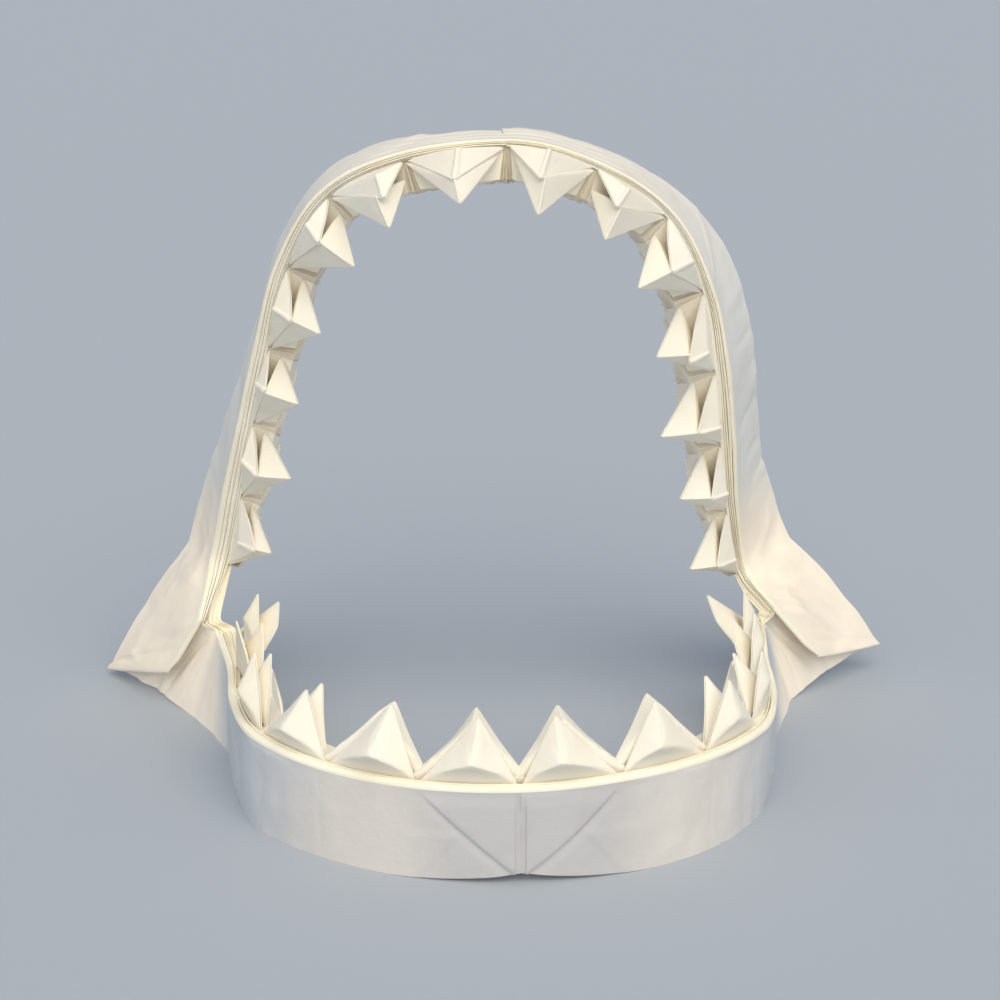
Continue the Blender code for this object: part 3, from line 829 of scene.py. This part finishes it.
def pleats(rim, material):
    """The strip's inner side: the ledge under the teeth and the pleats that fan back from each pinch."""
    columns = []        # (pinch, place in its fan from -1 to 1, step height)
    rng = np.random.default_rng(70 + rim.side + 10 * (rim.jaw == "upper"))
    for pinch in range(rim.teeth + 1):
        for k in range(PLEATS):
            lo, hi = 2 * k / PLEATS - 1, 2 * (k + 1) / PLEATS - 1
            lift = 0.040 + 0.035 * rng.random()
            ends = ((lo, lift), (hi - 0.015, 0.0)) if k < PLEATS // 2 else ((lo + 0.015, 0.0), (hi, lift))
            columns += [(pinch, place, height) for place, height in ends]
    columns = [c for c in columns if not (c[0] == 0 and c[1] < 0)]
    columns = [c for c in columns if not (c[0] == rim.teeth and c[1] > 0.01)]
    columns.insert(0, (0, 0.0, 0.0))
    t = np.concatenate((np.linspace(0, 1, 5), np.linspace(1, 2, 15)[1:]))
    s = np.zeros((len(columns), len(t)))
    lift = np.zeros_like(s)
    for n, (pinch, place, height) in enumerate(columns):
        spread = np.interp(t, (0, 1, 2), (0.06, 0.16, 1.0))
        s[n] = pinch + 0.5 * place * spread
        lift[n] = height * np.interp(t, (0, 1, 2), (0.5, 0.8, 1.0))
    s = np.clip(s, 0, rim.teeth)
    here, _, back, inward = rim.frame(s)
    share = rim.share(s)[..., None]
    sunk = 0.03 * np.ones(s.shape)
    if rim.jaw == "lower":      # it sinks and runs out under the corner's layers
        share = share * (1 - 0.75 * smooth(rim.teeth - 0.8, rim.teeth - 0.1, s))[..., None]
        sunk = sunk + 0.16 * smooth(rim.teeth - 1.5, rim.teeth - 0.6, s)
    f = np.clip(t, 0, 1)[None, :, None]
    g = np.clip(t - 1, 0, 1)[None, :, None]
    inset = np.maximum(LEDGE_WIDTH * share * f, rim.drawn_in(s)[..., None] - 0.01)
    ledge = here + inward * inset + back * sunk[..., None]
    depth = INNER_WALL_DEPTH * np.minimum(1, share)
    wave = 0.035 * noise(s * 11, t[None, :] * np.ones_like(s), 80)[..., None]
    wall = ledge + g * (back * (depth + wave) + inward * (INNER_WALL_OFFSET - LEDGE_WIDTH) * share)
    grid = wall + inward * lift[..., None] * np.clip(2 * g, 0, 1) - back * lift[..., None] * (1 - g) * 0.5
    piece = Piece(f"{rim.jaw}_pleats_{rim.label}")
    piece.sheet(grid, PAPER)
    piece.make(material, 25)


def noise_texture(tree, place, scale, detail):
    """Noise over the object's own coordinates."""
    texture = tree.nodes.new("ShaderNodeTexNoise")
    texture.inputs["Scale"].default_value = scale
    texture.inputs["Detail"].default_value = detail
    tree.links.new(place.outputs["Object"], texture.inputs["Vector"])
    return texture.outputs["Fac"]


def bump(tree, height, strength, distance):
    """A bump from that height. Its distance is in metres."""
    made = tree.nodes.new("ShaderNodeBump")
    made.inputs["Strength"].default_value = strength
    made.inputs["Distance"].default_value = distance
    tree.links.new(height, made.inputs["Height"])
    return made


def paper_material(name, dark, pale, painted_shading_zones=()):
    """Cream paper, mottled, crumpled and fibrous.

    Each zone paints shade or light into it: a colour, and then fades, each a coordinate (0 for |x|, 2 for
    z) with the metres where the painted colour starts and where it is full. Fades of one zone multiply.
    """
    material = bpy.data.materials.new(name)
    material.use_nodes = True
    tree = material.node_tree
    nodes, links = tree.nodes, tree.links
    shader = nodes["Principled BSDF"]
    place = nodes.new("ShaderNodeTexCoord")
    ramp = nodes.new("ShaderNodeValToRGB")
    ramp.color_ramp.elements[0].position = 0.3
    ramp.color_ramp.elements[0].color = (*dark, 1)
    ramp.color_ramp.elements[1].position = 0.7
    ramp.color_ramp.elements[1].color = (*pale, 1)
    links.new(noise_texture(tree, place, scale=45.0, detail=6.0), ramp.inputs["Fac"])
    colour = ramp.outputs["Color"]
    split = nodes.new("ShaderNodeSeparateXYZ")
    links.new(place.outputs["Object"], split.inputs["Vector"])
    sideways = nodes.new("ShaderNodeMath")
    sideways.operation = "ABSOLUTE"
    links.new(split.outputs["X"], sideways.inputs[0])
    # each zone multiplies painted shade or painted light into the paper's colour
    for painted_tint, *fades in painted_shading_zones:
        share = None
        for axis, start, end in fades:
            fade = nodes.new("ShaderNodeMapRange")
            fade.interpolation_type = "SMOOTHSTEP"
            fade.inputs["From Min"].default_value = start
            fade.inputs["From Max"].default_value = end
            links.new(sideways.outputs[0] if axis == 0 else split.outputs[axis], fade.inputs["Value"])
            if share is None:
                share = fade.outputs["Result"]
            else:
                both = nodes.new("ShaderNodeMath")
                both.operation = "MULTIPLY"
                links.new(share, both.inputs[0])
                links.new(fade.outputs["Result"], both.inputs[1])
                share = both.outputs[0]
        mix = nodes.new("ShaderNodeMix")    # its colours are inputs 6 and 7, and output 2
        mix.data_type = "RGBA"
        mix.blend_type = "MULTIPLY"
        mix.inputs[7].default_value = (*painted_tint, 1)
        links.new(share, mix.inputs[0])
        links.new(colour, mix.inputs[6])
        colour = mix.outputs[2]
    links.new(colour, shader.inputs["Base Color"])
    shader.inputs["Roughness"].default_value = 0.72
    shader.inputs["Specular IOR Level"].default_value = 0.3
    height = noise_texture(tree, place, scale=70.0, detail=3.0)
    crumple = bump(tree, height, strength=0.5, distance=0.0012)
    height = noise_texture(tree, place, scale=650.0, detail=5.0)
    fibre = bump(tree, height, strength=0.3, distance=0.00025)
    links.new(crumple.outputs["Normal"], fibre.inputs["Normal"])
    links.new(fibre.outputs["Normal"], shader.inputs["Normal"])
    return material


def stage():
    """A plain pale floor under an even sky."""
    data = bpy.data.meshes.new("floor")
    corners = [(x * FLOOR_REACH, y * FLOOR_REACH, 0) for x, y in ((-1, -1), (1, -1), (1, 1), (-1, 1))]
    data.from_pydata(corners, [], [(0, 1, 2, 3)])
    floor = bpy.data.objects.new("floor", data)
    bpy.context.scene.collection.objects.link(floor)
    material = bpy.data.materials.new("floor")
    material.use_nodes = True
    shader = material.node_tree.nodes["Principled BSDF"]
    shader.inputs["Base Color"].default_value = (*FLOOR_COLOUR, 1)
    shader.inputs["Roughness"].default_value = 0.9
    data.materials.append(material)
    world = bpy.data.worlds.new("studio")
    bpy.context.scene.world = world
    world.use_nodes = True
    background = world.node_tree.nodes["Background"]
    background.inputs["Color"].default_value = (*SKY_COLOUR, 1)
    background.inputs["Strength"].default_value = SKY_STRENGTH
    settings = bpy.context.scene.view_settings
    settings.view_transform = "Standard"
    settings.look = "None"


def light(name, place, target, size, power, colour):
    """A rectangular light, in metres, that the camera doesn't see."""
    data = bpy.data.lights.new(name, "AREA")
    data.shape = "RECTANGLE"
    data.size, data.size_y = size
    data.energy = power
    data.color = colour
    made = bpy.data.objects.new(name, data)
    made.location = place
    made.rotation_euler = (Vector(target) - Vector(place)).to_track_quat("-Z", "Y").to_euler()
    made.visible_camera = False
    bpy.context.scene.collection.objects.link(made)


def sun(name, height, azimuth, strength, colour):
    """A soft sun, from the front at azimuth 0 and from the right at 90."""
    data = bpy.data.lights.new(name, "SUN")
    data.angle = math.radians(SUN_SPREAD)
    data.energy = strength
    data.color = colour
    made = bpy.data.objects.new(name, data)
    a, e = math.radians(azimuth), math.radians(height)
    towards = Vector((math.sin(a) * math.cos(e), -math.cos(a) * math.cos(e), math.sin(e)))
    made.rotation_euler = towards.to_track_quat("Z", "Y").to_euler()
    bpy.context.scene.collection.objects.link(made)


def camera():
    """The photograph's view: it looks down by the pitch, from a little to one side."""
    pitch, turn = math.radians(CAMERA_PITCH), math.radians(CAMERA_TURN)
    ahead = Vector((0, math.cos(pitch), -math.sin(pitch)))
    up = Vector((0, math.sin(pitch), math.cos(pitch)))
    yaw = Matrix.Rotation(-turn, 3, "Z")
    place = yaw @ (Vector(CAMERA_TARGET) - CAMERA_DISTANCE * ahead)
    ahead, up, across = yaw @ ahead, yaw @ up, yaw @ Vector((1, 0, 0))
    place = Vector(to_metres(np.array(place)))
    data = bpy.data.cameras.new("camera")
    data.sensor_width = CAMERA_SENSOR
    data.lens = CAMERA_LENS
    data.clip_start = 0.01
    made = bpy.data.objects.new("camera", data)
    bpy.context.scene.collection.objects.link(made)
    made.matrix_world = Matrix((
        (across.x, up.x, -ahead.x, place.x),
        (across.y, up.y, -ahead.y, place.y),
        (across.z, up.z, -ahead.z, place.z),
        (0, 0, 0, 1),
    ))
    bpy.context.scene.camera = made


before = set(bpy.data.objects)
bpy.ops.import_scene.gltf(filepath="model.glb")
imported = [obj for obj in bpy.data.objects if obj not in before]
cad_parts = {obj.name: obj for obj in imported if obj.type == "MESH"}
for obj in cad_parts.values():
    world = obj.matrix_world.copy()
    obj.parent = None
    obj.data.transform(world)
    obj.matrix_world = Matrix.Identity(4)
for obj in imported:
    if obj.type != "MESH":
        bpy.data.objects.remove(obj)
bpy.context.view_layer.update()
# the upper band's colour carries painted bluish shade: higher up, and more on the sides of the arch
upper_band_painted_shade = paper_material(
    "cream_paper_upper_band_painted_shade", (0.88, 0.775, 0.635), (0.94, 0.84, 0.695), (
        ((0.91, 0.945, 0.995), (2, 0.065, 0.10)),
        ((0.90, 0.955, 1.02), (0, 0.05, 0.09), (2, 0.065, 0.10)),
    ))
# the lower band's colour carries painted bluish-grey shade over its front, more towards the ends and darker
# in the middle
lower_band_painted_shade = paper_material(
    "cream_paper_lower_band_painted_shade", (0.91, 0.815, 0.68), (0.96, 0.87, 0.735), (
        ((0.76, 0.79, 0.86), (0, 0.114, 0.104)),
        ((0.79, 0.87, 0.98), (0, 0.06, 0.095), (0, 0.114, 0.104)),
        ((0.79, 0.82, 0.88), (0, 0.05, 0.02)),
    ))
folds = paper_material("cream_paper_folds", (0.86, 0.79, 0.65), (0.92, 0.86, 0.73))
# the lower teeth's paper is a lighter copy with painted light, warmer still on the corner teeth beyond |x|
# 0.085 m
lower_teeth_painted_light = paper_material(
    "cream_paper_lower_teeth_painted_light", (0.88, 0.81, 0.67), (0.94, 0.88, 0.75), (
        ((0.99, 0.955, 0.87), (0, 0.085, 0.10)),
    ))
# the pleats' paper is a paler copy: painted light in their shaded crevices
pleats_painted_light = paper_material("cream_paper_pleats_painted_light", (0.92, 0.84, 0.69), (0.97, 0.90, 0.76))
# the edges' paper is a brighter copy: painted light on the rim folds, the rim's layers and the corner
# bundles
edges = paper_material("cream_paper_edges_painted_light", (0.92, 0.84, 0.66), (0.98, 0.91, 0.74))
for side in (-1, 1):
    upper, lower = Rim("upper", side), Rim("lower", side)
    upper_band(upper, upper_band_painted_shade, edges)
    lower_band(lower, lower_band_painted_shade, edges)
    corner_layers(upper, lower, edges)
    for rim in (upper, lower):
        rim_stack(rim, edges)
        pleats(rim, pleats_painted_light)
        teeth(rim, folds if rim is upper else lower_teeth_painted_light)
stage()
for name, settings in SUNS.items():
    sun(name, *settings)
light("bounce", place=(0.0, -0.03, 0.004), target=(0, -0.05, 0.2), size=(0.11, 0.08), power=0.03,
      colour=(0.92, 0.94, 1.0))
camera()
